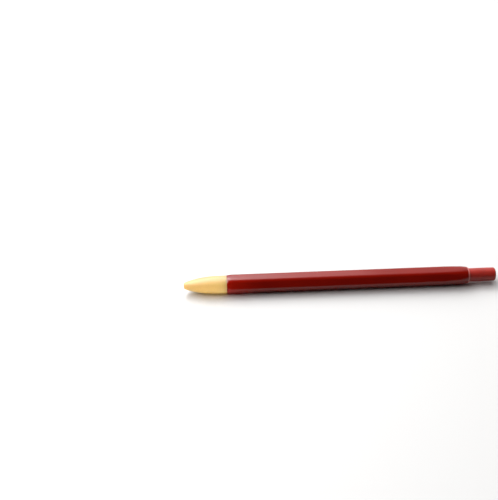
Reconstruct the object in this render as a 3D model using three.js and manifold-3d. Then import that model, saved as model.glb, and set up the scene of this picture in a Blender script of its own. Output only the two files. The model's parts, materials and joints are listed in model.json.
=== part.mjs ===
// Mechanical coloured pencil for 2.0 mm leads, at its real size in millimetres.
// It lies on one flat of its hexagonal barrel, with +Z up, the nose towards -X and the push button
// towards +X. The origin is under its middle, on the surface that it lies on.

import * as THREE from "three";
import { mergeVertices } from "three/addons/utils/BufferGeometryUtils.js";
import Module from "manifold-3d";

const wasm = await Module();
wasm.setup();

// Driving sizes: outside

const acrossFlats = 8.4;
const ridgeRadius = 1.2;
const noseLength = 19.8;
const barrelLength = 113.2;
const buttonShown = 12.5;
const buttonDiameter = 6.3;
const buttonEndRadius = 0.7;
const noseTipDiameter = 2.7;
const noseTipLength = 1.2;
const mouthRim = 0.1;
const noseBaseStep = 0.08;
const noseFullness = 3;
const leadInLength = 2.3;
const drawnInLength = 13;
const rimDiameter = 7.2;
const rimRounding = 0.25;

// Driving sizes: clearances

const runningGap = 0.1;
const gripGap = 0.03;
const pressGap = 0.02;
const seatGap = 0.05;

// Driving sizes: leads

const leadDiameter = 2.0;
const leadLength = 60;
const leadSetBack = 1.2;
const leadTipChamfer = 0.25;
const spareRoom = 0.6;

// Driving sizes: clutch

const pushStroke = 2.4;
const ringTravel = 1.2;
const mouthLength = 3.2;
const retainerLength = 1.9;
const retainerWall = 0.7;
const retainerRoom = 0.7;
const jawWall = 1.13;
const jawOpening = 0.25;
const jawFrontChamfer = 0.4;
const jawLand = 0.9;
const headBeforeRing = 1.2;
const headHalfAngle = THREE.MathUtils.degToRad(6);
const gripLength = 3.6;
const boreRelief = 0.15;
const shankWall = 0.45;
const slitCount = 3;
const slitWidth = 0.45;
const slitLength = 11.7;
const ringLength = 3.0;
const ringChamfer = 0.2;

// Driving sizes: spring, sleeve and socket

const springWire = 0.4;
const springTurns = 12;
const springEndPitch = 0.55;
const springFitted = 16;
const sleeveWall = 0.55;
const sleeveEndWall = 1.2;
const sleeveFlangeThickness = 1.5;
const sleeveTail = 4.6;
const spigotLength = 7;
const spigotWall = 0.5;
const spigotChamfer = 0.3;
const webThickness = 2;
const shankHold = 4.8;
const socketWall = 0.5;
const funnelLength = 2.2;
const funnelLand = 1;
const tubeHold = 7.6;

// Driving sizes: lead tube and button

const tubeLeadRoom = 0.5;
const tubeWall = 0.6;
const tubePastBarrel = 6;
const buttonInside = 10;
const buttonEndWall = 1.7;
const buttonMouthChamfer = 0.4;

// Faces of the curved walls, and how far a cut runs past what it cuts

const innerSegments = 32;
const outerSegments = 48;
const barrelSegments = 72;
const springSteps = 14;
const cutOverrun = 1;

// Radii, each fitted on the one inside it

const leadRadius = leadDiameter / 2;
const gripRadius = leadRadius + gripGap;
const mouthRadius = leadRadius + runningGap;
const shankBore = leadRadius + boreRelief;
const shankRadius = shankBore + shankWall;
const springInner = shankRadius + runningGap;
const springOuter = springInner + springWire;
const sleeveBore = springOuter + runningGap;
const sleeveRadius = sleeveBore + sleeveWall;
const chamberRadius = sleeveRadius + runningGap;
const spigotRadius = chamberRadius + spigotWall;
const retainerRadius = gripRadius + retainerWall;
const headRadius = gripRadius + jawWall;
const headRoomRadius = headRadius + jawOpening;
const socketBore = shankRadius + pressGap;
const socketRadius = springOuter - seatGap;
const tubeBore = leadRadius + tubeLeadRoom;
const tubeRadius = tubeBore + tubeWall;
const collarRadius = tubeRadius + pressGap + socketWall;
const buttonRadius = buttonDiameter / 2;
const barrelBore = buttonRadius + runningGap;
const flatRadius = acrossFlats / 2;
const noseBaseRadius = flatRadius - noseBaseStep;
const ridgeReach = ridgeRadius + (flatRadius - ridgeRadius) / Math.cos(Math.PI / 6);

// Places along the axis, counted from the mouth of the nose

const barrelEnd = noseLength + barrelLength;
const overallLength = barrelEnd + buttonShown;
const headRoomFront = mouthLength + retainerLength + retainerRoom;
const colletFront = headRoomFront + pushStroke + 2 * seatGap;
const ringStop = colletFront + headBeforeRing;
const ringFront = ringStop + ringTravel + seatGap;
const ringEnd = ringFront + ringLength;
const sleeveFront = ringEnd + seatGap;
const springFront = sleeveFront + sleeveEndWall;
const spigotEnd = noseLength + spigotLength;
const flangeFront = spigotEnd + seatGap;
const flangeEnd = flangeFront + sleeveFlangeThickness;
const webFront = flangeEnd + seatGap;
const sleeveEnd = flangeEnd + sleeveTail;
const socketFront = springFront + springFitted;
const colletEnd = socketFront + shankHold;
const collarFront = sleeveEnd + pushStroke + 2 * seatGap;
const funnelFront = colletEnd + seatGap + funnelLand;
const tubeFront = funnelFront + funnelLength + seatGap;
const socketEnd = tubeFront + tubeHold;
const tubeEnd = barrelEnd + tubePastBarrel;
const buttonFront = barrelEnd - buttonInside;
const slitEnd = colletFront + slitLength;
const spareFront = leadSetBack + leadLength + pushStroke + spareRoom;

// Shaping

/** Points of a round edge about (along, radius), between two angles from the axis, in degrees. */
function roundEdge(along, radius, size, fromAngle, toAngle, steps = 5) {
  return Array.from({ length: steps + 1 }, (_, step) => {
    const angle = THREE.MathUtils.degToRad(fromAngle + ((toAngle - fromAngle) * step) / steps);
    return [along + size * Math.cos(angle), radius + size * Math.sin(angle)];
  });
}

/** A body turned about the axis. Its outline runs along the outer wall and back along the bore. */
function turned(outline, segments = innerSegments) {
  const points = outline.map(([along, radius]) => new THREE.Vector2(radius, along));
  const closesOnAxis = outline[0][1] === 0;
  if (!closesOnAxis) {
    points.push(points[0].clone());
  }
  return new THREE.LatheGeometry(points, segments).rotateZ(-Math.PI / 2);
}

/** A geometry as a solid that can be cut and joined. */
function solidOf(geometry) {
  const bare = geometry.clone();
  bare.deleteAttribute("normal");
  bare.deleteAttribute("uv");
  const merged = mergeVertices(bare);
  return new wasm.Manifold(
    new wasm.Mesh({
      numProp: 3,
      vertProperties: Float32Array.from(merged.attributes.position.array),
      triVerts: Uint32Array.from(merged.index.array),
    }),
  );
}

/** A cut or joined solid as a geometry again. */
function geometryOf(solid) {
  const mesh = solid.getMesh();
  const geometry = new THREE.BufferGeometry();
  geometry.setAttribute("position", new THREE.BufferAttribute(mesh.vertProperties, 3));
  geometry.setIndex(new THREE.BufferAttribute(mesh.triVerts, 1));
  geometry.computeVertexNormals();
  return geometry;
}

/** A hexagonal bar along the axis, with flats at top and bottom and rounded ridges. */
function hexagonalBar(from, to) {
  const section = new THREE.Shape();
  const ridgeCentre = (flatRadius - ridgeRadius) / Math.cos(Math.PI / 6);
  for (let ridge = 0; ridge < 6; ridge += 1) {
    const angle = (ridge * Math.PI) / 3 + Math.PI / 2;
    section.absarc(
      ridgeCentre * Math.cos(angle),
      ridgeCentre * Math.sin(angle),
      ridgeRadius,
      angle - Math.PI / 6,
      angle + Math.PI / 6,
      false,
    );
  }
  section.closePath();
  const bar = new THREE.ExtrudeGeometry(section, {
    depth: to - from,
    bevelEnabled: false,
    curveSegments: 5,
  });
  return bar.rotateY(Math.PI / 2).translate(from, 0, 0);
}

// Finishes

const finish = (color, roughness, metalness = 0) =>
  new THREE.MeshStandardMaterial({ color, roughness, metalness });

const barrelPlastic = () => finish(0x7c1a12, 0.16);
const buttonPlastic = () => finish(0x86251c, 0.34);
const nosePlastic = () => finish(0xefcf9f, 0.55);
const brass = () => finish(0xb9924a, 0.3, 1);
const springSteel = () => finish(0xb8bbbf, 0.28, 1);
const rubber = () => finish(0x2b2b2c, 0.85);
const naturalPlastic = () => finish(0xe9e7e0, 0.45);
const lead = () => finish(0x6e1a14, 0.6);

// Barrel

/** Turned limit of the barrel: round at the nose, past the ridges between, drawn in at the rear rim. */
function barrelOuterWall() {
  const rimRadius = rimDiameter / 2;
  const clearOfRidges = ridgeReach + seatGap;
  const wall = [[noseLength, noseBaseRadius]];
  const leadInSteps = 6;
  for (let step = 1; step <= leadInSteps; step += 1) {
    const share = step / leadInSteps;
    const rise = Math.sin((share * Math.PI) / 2);
    const radius = noseBaseRadius + (clearOfRidges - noseBaseRadius) * rise;
    wall.push([noseLength + leadInLength * share, radius]);
  }
  const drawnInSteps = 14;
  for (let step = 0; step < drawnInSteps; step += 1) {
    const angle = (step / drawnInSteps) * (Math.PI / 2);
    const along = barrelEnd - drawnInLength - rimRounding + drawnInLength * Math.sin(angle);
    wall.push([along, rimRadius + (clearOfRidges - rimRadius) * Math.cos(angle)]);
  }
  wall.push(...roundEdge(barrelEnd - rimRounding, rimRadius - rimRounding, rimRounding, 90, 0, 3));
  return wall;
}

/** Hexagonal shell with its stepped bore: nose socket, web and the long bore that guides the button. */
function barrelGeometry() {
  const bore = [
    [barrelEnd, barrelBore + seatGap],
    [barrelEnd - seatGap, barrelBore],
    [webFront + webThickness, barrelBore],
    [webFront + webThickness, sleeveRadius + runningGap],
    [webFront, sleeveRadius + runningGap],
    [webFront, spigotRadius + runningGap],
    [noseLength, spigotRadius + runningGap],
  ];
  const shell = solidOf(turned([...barrelOuterWall(), ...bore], barrelSegments));
  const bar = solidOf(hexagonalBar(noseLength - cutOverrun, barrelEnd + cutOverrun));
  return geometryOf(shell.intersect(bar));
}

// Nose cone

/** Radius of the ogive at a place along the nose, without its rounded tip. */
function ogiveRadius(along) {
  const tipRadius = noseTipDiameter / 2;
  const left = 1 - along / noseLength;
  return tipRadius + (noseBaseRadius - tipRadius) * (1 - left ** noseFullness);
}

/** Rounded tip, a quarter of an ellipse from the mouth's rim out to the ogive. */
function tipEdge() {
  const rimRadius = mouthRadius + mouthRim;
  const steps = 6;
  return Array.from({ length: steps + 1 }, (_, step) => {
    const angle = (step / steps) * (Math.PI / 2);
    const rise = (ogiveRadius(noseTipLength) - rimRadius) * Math.sin(angle);
    return [noseTipLength * (1 - Math.cos(angle)), rimRadius + rise];
  });
}

/** Ogive with the lead's mouth, retainer pocket, jaw room and ring chamber, and the rear spigot. */
function noseGeometry() {
  const outside = tipEdge();
  const outsideSteps = 20;
  const crowdingAtTip = 1.25;
  for (let step = 1; step <= outsideSteps; step += 1) {
    const share = (step / outsideSteps) ** crowdingAtTip;
    const along = noseTipLength + (noseLength - noseTipLength) * share;
    outside.push([along, ogiveRadius(along)]);
  }
  const rear = [
    [noseLength, spigotRadius],
    [spigotEnd - spigotChamfer, spigotRadius],
    [spigotEnd, spigotRadius - spigotChamfer],
  ];
  const inside = [
    [spigotEnd, chamberRadius],
    [ringStop, chamberRadius],
    [ringStop, headRoomRadius],
    [headRoomFront, headRoomRadius],
    [headRoomFront, retainerRadius + gripGap],
    [mouthLength, retainerRadius + gripGap],
    [mouthLength, mouthRadius],
    [0, mouthRadius],
  ];
  return turned([...outside, ...rear, ...inside], outerSegments);
}

/** Rubber ring behind the mouth, with rounded lips towards the lead. */
function retainerGeometry() {
  const front = mouthLength + seatGap;
  const end = front + retainerLength;
  const lip = retainerLength / 4;
  return turned([
    [front, retainerRadius],
    [end, retainerRadius],
    [end, gripRadius + lip],
    ...roundEdge(end - lip, gripRadius + lip, lip, 0, -90, 4).slice(1),
    ...roundEdge(front + lip, gripRadius + lip, lip, -90, -180, 4),
  ]);
}

// Clutch

/** Radius of the collet's wedge at a place along the axis, down to its shank. */
function wedgeRadius(along) {
  const landEnd = colletFront + jawFrontChamfer + jawLand;
  return headRadius - Math.max(0, along - landEnd) * Math.tan(headHalfAngle);
}

/** Brass collet: wedge head and shank in one piece, slit from the front into three jaws. */
function colletGeometry() {
  const landEnd = colletFront + jawFrontChamfer + jawLand;
  const wedgeEnd = landEnd + (headRadius - shankRadius) / Math.tan(headHalfAngle);
  const body = solidOf(
    turned([
      [colletFront, headRadius - jawFrontChamfer],
      [colletFront + jawFrontChamfer, headRadius],
      [landEnd, headRadius],
      [wedgeEnd, shankRadius],
      [colletEnd, shankRadius],
      [colletEnd, shankBore],
      [colletFront + gripLength + boreRelief, shankBore],
      [colletFront + gripLength, gripRadius],
      [colletFront, gripRadius],
    ]),
  );
  const reach = headRadius + cutOverrun;
  const length = slitLength + cutOverrun;
  const slits = Array.from({ length: slitCount }, (_, index) => {
    const slit = new THREE.BoxGeometry(length, reach, slitWidth);
    slit.translate(slitEnd - length / 2, reach / 2, 0);
    return slit.rotateX((index * 2 * Math.PI) / slitCount + Math.PI / 2);
  });
  return geometryOf(slits.reduce((rest, slit) => rest.subtract(solidOf(slit)), body));
}

/** Brass ring whose cone bore holds the jaws shut. */
function ringGeometry() {
  return turned([
    [ringFront, sleeveRadius - ringChamfer],
    [ringFront + ringChamfer, sleeveRadius],
    [ringEnd - ringChamfer, sleeveRadius],
    [ringEnd, sleeveRadius - ringChamfer],
    [ringEnd, wedgeRadius(ringEnd) + gripGap],
    [ringFront, wedgeRadius(ringFront) + gripGap],
  ]);
}

/** Flanged sleeve: rear stop of the ring, front seat of the spring and guide of the shank. */
function sleeveGeometry() {
  const shankHole = Math.max(shankRadius, wedgeRadius(sleeveFront)) + runningGap;
  return turned([
    [sleeveFront, sleeveRadius],
    [flangeFront, sleeveRadius],
    [flangeFront, spigotRadius],
    [flangeEnd, spigotRadius],
    [flangeEnd, sleeveRadius],
    [sleeveEnd, sleeveRadius],
    [sleeveEnd, sleeveBore],
    [springFront, sleeveBore],
    [springFront, shankHole],
    [sleeveFront, shankHole],
  ]);
}

/** Centre line of the spring, with one close turn at each end. */
class SpringLine extends THREE.Curve {
  getPoint(share, target = new THREE.Vector3()) {
    const turn = share * springTurns;
    const endRest = seatGap + springWire / 2;
    const span = springFitted - 2 * endRest;
    const openPitch = (span - 2 * springEndPitch) / (springTurns - 2);
    const closed = Math.min(turn, 1) + Math.max(turn - (springTurns - 1), 0);
    const along = closed * springEndPitch + (turn - closed) * openPitch;
    const radius = (springInner + springOuter) / 2;
    const angle = turn * 2 * Math.PI;
    const front = springFront + endRest;
    return target.set(front + along, radius * Math.cos(angle), radius * Math.sin(angle));
  }
}

/** Steel compression spring round the collet's shank. */
function springGeometry() {
  const wireSides = 6;
  const section = new THREE.Shape(
    Array.from({ length: wireSides }, (_, side) => {
      const angle = (side * 2 * Math.PI) / wireSides;
      return new THREE.Vector2(Math.cos(angle), Math.sin(angle)).multiplyScalar(springWire / 2);
    }),
  );
  return new THREE.ExtrudeGeometry(section, {
    steps: springTurns * springSteps,
    bevelEnabled: false,
    extrudePath: new SpringLine(),
  });
}

/** Coupling of collet and lead tube: spring seat in front, stop collar, funnel and tube socket. */
function socketGeometry() {
  return turned([
    [socketFront, socketRadius],
    [collarFront, socketRadius],
    [collarFront, collarRadius],
    [socketEnd, collarRadius],
    [socketEnd, tubeRadius + pressGap],
    [tubeFront - seatGap, tubeRadius + pressGap],
    [tubeFront - seatGap, tubeBore],
    [funnelFront, shankBore],
    [colletEnd + seatGap, shankBore],
    [colletEnd + seatGap, socketBore],
    [socketFront, socketBore],
  ]);
}

// Lead tube, button and leads

/** Reservoir tube between the socket and the button. */
function tubeGeometry() {
  return turned([
    [tubeFront, tubeRadius],
    [tubeEnd, tubeRadius],
    [tubeEnd, tubeBore],
    [tubeFront, tubeBore],
  ]);
}

/** Push button: a deep cap that slips over the end of the lead tube. */
function buttonGeometry() {
  const endCentre = overallLength - buttonEndRadius;
  const grip = tubeRadius + gripGap;
  const outline = [
    [buttonFront, buttonRadius - buttonMouthChamfer],
    [buttonFront + buttonMouthChamfer, buttonRadius],
    ...roundEdge(endCentre, buttonRadius - buttonEndRadius, buttonEndRadius, 90, 0, 6),
    [overallLength, 0],
    [overallLength - buttonEndWall, 0],
    [overallLength - buttonEndWall, tubeBore],
    [tubeEnd + seatGap, tubeBore],
    [tubeEnd + seatGap, grip],
    [buttonFront + buttonMouthChamfer, grip],
    [buttonFront, grip + buttonMouthChamfer],
  ];
  return turned(outline, outerSegments);
}

/** Lead with a blunt edge at both ends. */
function leadGeometry(from) {
  const to = from + leadLength;
  return turned([
    [from, 0],
    [from, leadRadius - leadTipChamfer],
    [from + leadTipChamfer, leadRadius],
    [to - leadTipChamfer, leadRadius],
    [to, leadRadius - leadTipChamfer],
    [to, 0],
  ]);
}

// Assembly

/** A named piece. */
function piece(name, geometry, material) {
  const mesh = new THREE.Mesh(geometry, material);
  mesh.name = name;
  return mesh;
}

/** Pieces that stay together. */
function carried(...pieces) {
  return new THREE.Group().add(...pieces);
}

const housing = carried(
  piece("barrel", barrelGeometry(), barrelPlastic()),
  piece("guide_sleeve", sleeveGeometry(), naturalPlastic()),
  piece("return_spring", springGeometry(), springSteel()),
);

const nose = carried(
  piece("nose_cone", noseGeometry(), nosePlastic()),
  piece("lead_retainer", retainerGeometry(), rubber()),
);

const plunger = carried(
  piece("collet", colletGeometry(), brass()),
  piece("collet_socket", socketGeometry(), naturalPlastic()),
  piece("lead_tube", tubeGeometry(), naturalPlastic()),
  piece("push_button", buttonGeometry(), buttonPlastic()),
);

const clutchRing = piece("clutch_ring", ringGeometry(), brass());
const workingLead = piece("working_lead", leadGeometry(leadSetBack), lead());

const spareLead = piece("spare_lead", leadGeometry(spareFront), lead());
spareLead.position.z = leadRadius + gripGap - tubeBore;

const pencil = carried(housing, nose, plunger, clutchRing, workingLead, spareLead);
pencil.position.set(-overallLength / 2, 0, flatRadius);

export default new THREE.Group().add(pencil);
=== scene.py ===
"""Mechanical coloured pencil: its visible pieces and finishes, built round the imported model."""

import json
import logging
import math
from collections.abc import Callable
from dataclasses import dataclass
from enum import Enum

import bmesh
import bpy
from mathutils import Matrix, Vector


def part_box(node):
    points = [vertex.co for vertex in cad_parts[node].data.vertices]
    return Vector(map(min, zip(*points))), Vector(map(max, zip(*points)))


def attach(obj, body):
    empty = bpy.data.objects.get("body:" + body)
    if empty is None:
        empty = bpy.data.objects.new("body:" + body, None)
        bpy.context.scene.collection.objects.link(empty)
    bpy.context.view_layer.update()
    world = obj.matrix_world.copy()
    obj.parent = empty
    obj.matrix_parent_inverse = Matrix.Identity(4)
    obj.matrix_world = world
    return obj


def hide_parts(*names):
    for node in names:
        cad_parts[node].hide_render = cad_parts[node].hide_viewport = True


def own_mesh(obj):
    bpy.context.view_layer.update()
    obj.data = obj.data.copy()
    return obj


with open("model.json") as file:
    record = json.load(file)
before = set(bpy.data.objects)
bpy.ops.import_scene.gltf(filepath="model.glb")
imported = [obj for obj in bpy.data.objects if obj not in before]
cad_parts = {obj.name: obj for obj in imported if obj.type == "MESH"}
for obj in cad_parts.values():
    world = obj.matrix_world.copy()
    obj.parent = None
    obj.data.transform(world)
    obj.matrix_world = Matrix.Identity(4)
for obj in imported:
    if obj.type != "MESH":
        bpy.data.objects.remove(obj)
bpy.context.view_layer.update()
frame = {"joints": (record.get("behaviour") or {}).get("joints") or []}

MM = 0.001
# Vertices that are closer than this, in metres, are one.
MERGE_DISTANCE = 1e-6
# Radii that are closer than this, in mm, are the same.
SAME_RADIUS = 0.01
# Sides of the barrel, and half of the angle that one of them takes.
SIDES = 6
HALF_SIDE = math.pi / SIDES
# The mean of a noise pattern.
NOISE_MIDDLE = 0.5
LOG = logging.getLogger("pencil")
# A point of an outline: mm along the axis and away from it.
Point = tuple[float, float]
Place = tuple[float, float, float]
Colour = tuple[float, float, float]


class Body(Enum):
    """The bodies that pieces ride on."""

    HOUSING = "housing"
    RETAINER = "retainer"
    NOSE = "nose"
    CLUTCH = "clutch"
    PLUNGER = "plunger"
    BUTTON = "button"
    LEAD = "lead"
    SPARE = "spare"


class Slot(Enum):
    """The finishes that the record names."""

    BARREL = "barrel_plastic"
    BUTTON = "button_plastic"
    NOSE = "nose_plastic"
    LEAD = "lead"
    NATURAL = "natural_plastic"
    BRASS = "brass"
    STEEL = "spring_steel"
    RUBBER = "rubber"


class Way(Enum):
    """How a noise pattern lies on a piece: its scale along the axis, across it and up."""

    EVEN = (1, 1, 1)
    DRAWN = (0.03, 1, 1)
    TURNED = (1, 0.06, 0.06)


class Edge(float, Enum):
    """How far a corner of a turned piece is rounded, in mm."""

    CRISP = 0.05
    CLEAN = 0.06
    FINE = 0.08
    PLAIN = 0.1
    EASED = 0.12
    SOFT = 0.15
    FULL = 0.2
    DEEP = 0.3
    WIDE = 0.6


@dataclass(frozen=True)
class Axis:
    """The pencil's own axis. Places along it are counted in mm from the mouth of the nose."""

    mouth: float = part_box("nose_cone")[0].x
    height: float = (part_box("barrel")[0].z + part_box("barrel")[1].z) / 2

    def point(self, along: float, radius: float, angle: float = math.pi / 2) -> Vector:
        """Gives a place in the scene.

        Args:
            along: Millimetres from the mouth.
            radius: Millimetres from the axis.
            angle: Angle round the axis, from +Y towards +Z.

        Returns:
            The place in metres.
        """
        across, up = radius * math.cos(angle), radius * math.sin(angle)
        return Vector((self.mouth + along * MM, across * MM, self.height + up * MM))

    def polar(self, place: Vector) -> tuple[float, float, float]:
        """Gives a place's millimetres from the mouth, angle round the axis and radius.

        Args:
            place: A place in metres.

        Returns:
            The place along the axis, the angle and the radius.
        """
        across, up = place.y / MM, (place.z - self.height) / MM
        return (place.x - self.mouth) / MM, math.atan2(up, across), math.hypot(across, up)

    def span(self, node: str) -> tuple[float, float, float]:
        """Gives where a node of the frame begins and ends along the axis, and its radius.

        Args:
            node: The node's name.

        Returns:
            The two ends and the radius, in mm.
        """
        low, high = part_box(node)
        return (low.x - self.mouth) / MM, (high.x - self.mouth) / MM, (high.y - low.y) / MM / 2


AXIS = Axis()


@dataclass(frozen=True)
class Corner:
    """One corner of an outline, in mm along the axis and away from it, with its rounding."""

    along: float
    radius: float
    rounding: float = 0.0


def rounded(corners: list[Corner], steps: int = 5) -> list[Point]:
    """Rounds the corners of an outline, apart from its first and its last.

    Args:
        corners: The outline's corners in order.
        steps: Edges that each rounding is made of.

    Returns:
        The points of the outline.
    """
    points: list[Point] = []
    for index, corner in enumerate(corners):
        if not corner.rounding or index in (0, len(corners) - 1):
            points.append((corner.along, corner.radius))
            continue
        here = Vector((corner.along, corner.radius))
        before, after = corners[index - 1], corners[index + 1]
        back = (Vector((before.along, before.radius)) - here).normalized()
        on = (Vector((after.along, after.radius)) - here).normalized()
        half = back.angle(on) / 2
        middle = here + (back + on).normalized() * corner.rounding / math.sin(half)
        start = here + back * corner.rounding / math.tan(half) - middle
        end = here + on * corner.rounding / math.tan(half) - middle
        turn = start.angle_signed(end)
        for step in range(steps + 1):
            angle = -turn * step / steps
            spoke = Vector((
                start.x * math.cos(angle) - start.y * math.sin(angle),
                start.x * math.sin(angle) + start.y * math.cos(angle),
            ))
            points.append(tuple(middle + spoke))
    return points


def ring(corners: list[Corner], steps: int = 5) -> list[Point]:
    """Rounds the corners of an outline that closes on itself, apart from its first.

    Args:
        corners: The outline's corners in order, each of them once.
        steps: Edges that each rounding is made of.

    Returns:
        The points of the outline, each of them once.
    """
    return rounded([*corners, corners[0]], steps)[:-1]


def melted(first: float, second: float, width: float) -> float:
    """Gives the lesser of two radii, with a soft change from one to the other.

    Args:
        first: One radius.
        second: The other radius.
        width: The difference at which the soft change begins.

    Returns:
        The radius.
    """
    overlap = max(width - abs(first - second), 0) / width if width > 0 else 0
    return min(first, second) - overlap**2 * width / 4


class Workshop:
    """Tools that several pieces are made with."""

    @staticmethod
    def deselect() -> None:
        """Deselects everything."""
        bpy.ops.object.select_all(action="DESELECT")

    @staticmethod
    def name(piece: bpy.types.Object, name: str) -> bpy.types.Object:
        """Names a piece and its mesh.

        Args:
            piece: The piece.
            name: Its new name.

        Returns:
            The piece.
        """
        piece.name = name
        piece.data.name = name
        return piece

    @classmethod
    def turned(cls, name: str, outline: list[Point], steps: int = 96) -> bpy.types.Object:
        """Turns a piece about the pencil's axis, as on a lathe.

        Args:
            name: The piece's name.
            outline: The outline, closed on itself unless both its ends lie on the axis.
            steps: Faces round the piece.

        Returns:
            The piece.
        """
        first = outline[0]
        closed = outline if first[1] == 0 else [*outline, first]
        cls.deselect()
        bpy.ops.mesh.primitive_circle_add(vertices=3, radius=MM, location=AXIS.point(*first))
        piece = cls.name(bpy.context.object, name)
        bpy.ops.object.transform_apply(location=True, rotation=True, scale=True)
        bpy.ops.object.mode_set(mode="EDIT")
        bpy.ops.mesh.select_all(action="SELECT")
        bpy.ops.mesh.merge(type="CENTER")
        for (from_along, from_radius), (along, radius) in zip(closed, closed[1:]):
            step = ((along - from_along) * MM, 0, (radius - from_radius) * MM)
            bpy.ops.mesh.extrude_vertices_move(TRANSFORM_OT_translate={"value": step})
        bpy.ops.mesh.select_all(action="SELECT")
        bpy.ops.mesh.spin(
            steps=steps, angle=math.tau, center=(0, 0, AXIS.height), axis=(1, 0, 0)
        )
        bpy.ops.mesh.select_all(action="SELECT")
        bpy.ops.mesh.remove_doubles(threshold=MERGE_DISTANCE)
        bpy.ops.mesh.normals_make_consistent(inside=False)
        if bmesh.from_edit_mesh(piece.data).calc_volume(signed=True) < 0:
            bpy.ops.mesh.flip_normals()
        bpy.ops.object.mode_set(mode="OBJECT")
        return piece

    @staticmethod
    def reshape(
        piece: bpy.types.Object, rule: Callable[[float, float, float], tuple[float, float]]
    ) -> None:
        """Moves each vertex of a turned piece to another angle and radius.

        Args:
            piece: The piece.
            rule: Gives the new angle and radius from a place along the axis, angle and radius.
        """
        for vertex in piece.data.vertices:
            along, angle, radius = AXIS.polar(vertex.co)
            new_angle, new_radius = rule(along, angle, radius)
            vertex.co = AXIS.point(along, new_radius, new_angle)
        piece.data.update()

    @classmethod
    def pick(cls, piece: bpy.types.Object) -> None:
        """Selects one piece alone and makes it the active one.

        Args:
            piece: The piece.
        """
        cls.deselect()
        piece.select_set(True)
        bpy.context.view_layer.objects.active = piece

    @classmethod
    def smooth(cls, piece: bpy.types.Object, sharp_from: float) -> None:
        """Shades a piece smooth, with its sharper edges kept.

        Args:
            piece: The piece.
            sharp_from: Edges that bend by this many degrees or more stay sharp.
        """
        cls.pick(piece)
        bpy.ops.object.shade_smooth_by_angle(angle=math.radians(sharp_from))

    @classmethod
    def cut(cls, piece: bpy.types.Object, tool: bpy.types.Object) -> None:
        """Cuts one piece with another, which is used up.

        Args:
            piece: The piece that is cut.
            tool: The piece that cuts it.
        """
        cls.pick(piece)
        cutter = piece.modifiers.new("cut", "BOOLEAN")
        cutter.operation = "DIFFERENCE"
        cutter.solver = "EXACT"
        cutter.object = tool
        bpy.ops.object.modifier_apply(modifier=cutter.name)
        bpy.data.objects.remove(tool)

    @classmethod
    def seat(
        cls,
        piece: bpy.types.Object,
        body: Body,
        slot: Slot,
        finish: "Finish",
        node: str,
        sharp_from: float = 32,
    ) -> None:
        """Smooths and dresses a piece, and puts it in place of a node of the frame.

        Args:
            piece: The piece.
            body: The body that it rides on.
            slot: The finish that the record gives it. Not used.
            finish: Its finish in the scene.
            node: The node that it stands for.
            sharp_from: Edges that bend by this many degrees or more stay sharp.
        """
        cls.smooth(piece, sharp_from)
        piece.data.materials.clear()
        piece.data.materials.append(finish.material())
        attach(piece, body.value)
        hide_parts(node)
        LOG.info("%s: %d faces, rides on %s", piece.name, len(piece.data.polygons), body.value)


class Value:
    """A number that changes over a surface, kept as a socket that Python's operators work on."""

    def __init__(self, shader: "Shader", socket: bpy.types.NodeSocket) -> None:
        """Wraps a socket of a shader."""
        self.shader = shader
        self.socket = socket

    def math(self, operation: str, *others: "Value | float") -> "Value":
        """Adds one Math node.

        Args:
            operation: The node's operation.
            others: The inputs after this one.

        Returns:
            The result.
        """
        inputs = dict(enumerate([self, *others]))
        return self.shader.value("ShaderNodeMath", {"operation": operation}, inputs)

    def __add__(self, other: "Value | float") -> "Value":
        """Adds."""
        return self.math("ADD", other)

    __radd__ = __add__

    def __mul__(self, other: "Value | float") -> "Value":
        """Multiplies."""
        return self.math("MULTIPLY", other)

    __rmul__ = __mul__

    def __sub__(self, other: "Value | float") -> "Value":
        """Subtracts."""
        return self.math("SUBTRACT", other)

    def __rsub__(self, other: float) -> "Value":
        """Subtracts from a number."""
        return self * -1.0 + other

    def __pow__(self, other: float) -> "Value":
        """Raises to a power."""
        return self.math("POWER", other)

    def rise(self, low: float, high: float) -> "Value":
        """Rises smoothly from 0 at one value to 1 at another.

        Args:
            low: Where it starts.
            high: Where it ends.

        Returns:
            The smooth step.
        """
        settings = {"interpolation_type": "SMOOTHSTEP"}
        inputs = {"Value": self, "From Min": low, "From Max": high}
        return self.shader.value("ShaderNodeMapRange", settings, inputs)


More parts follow.
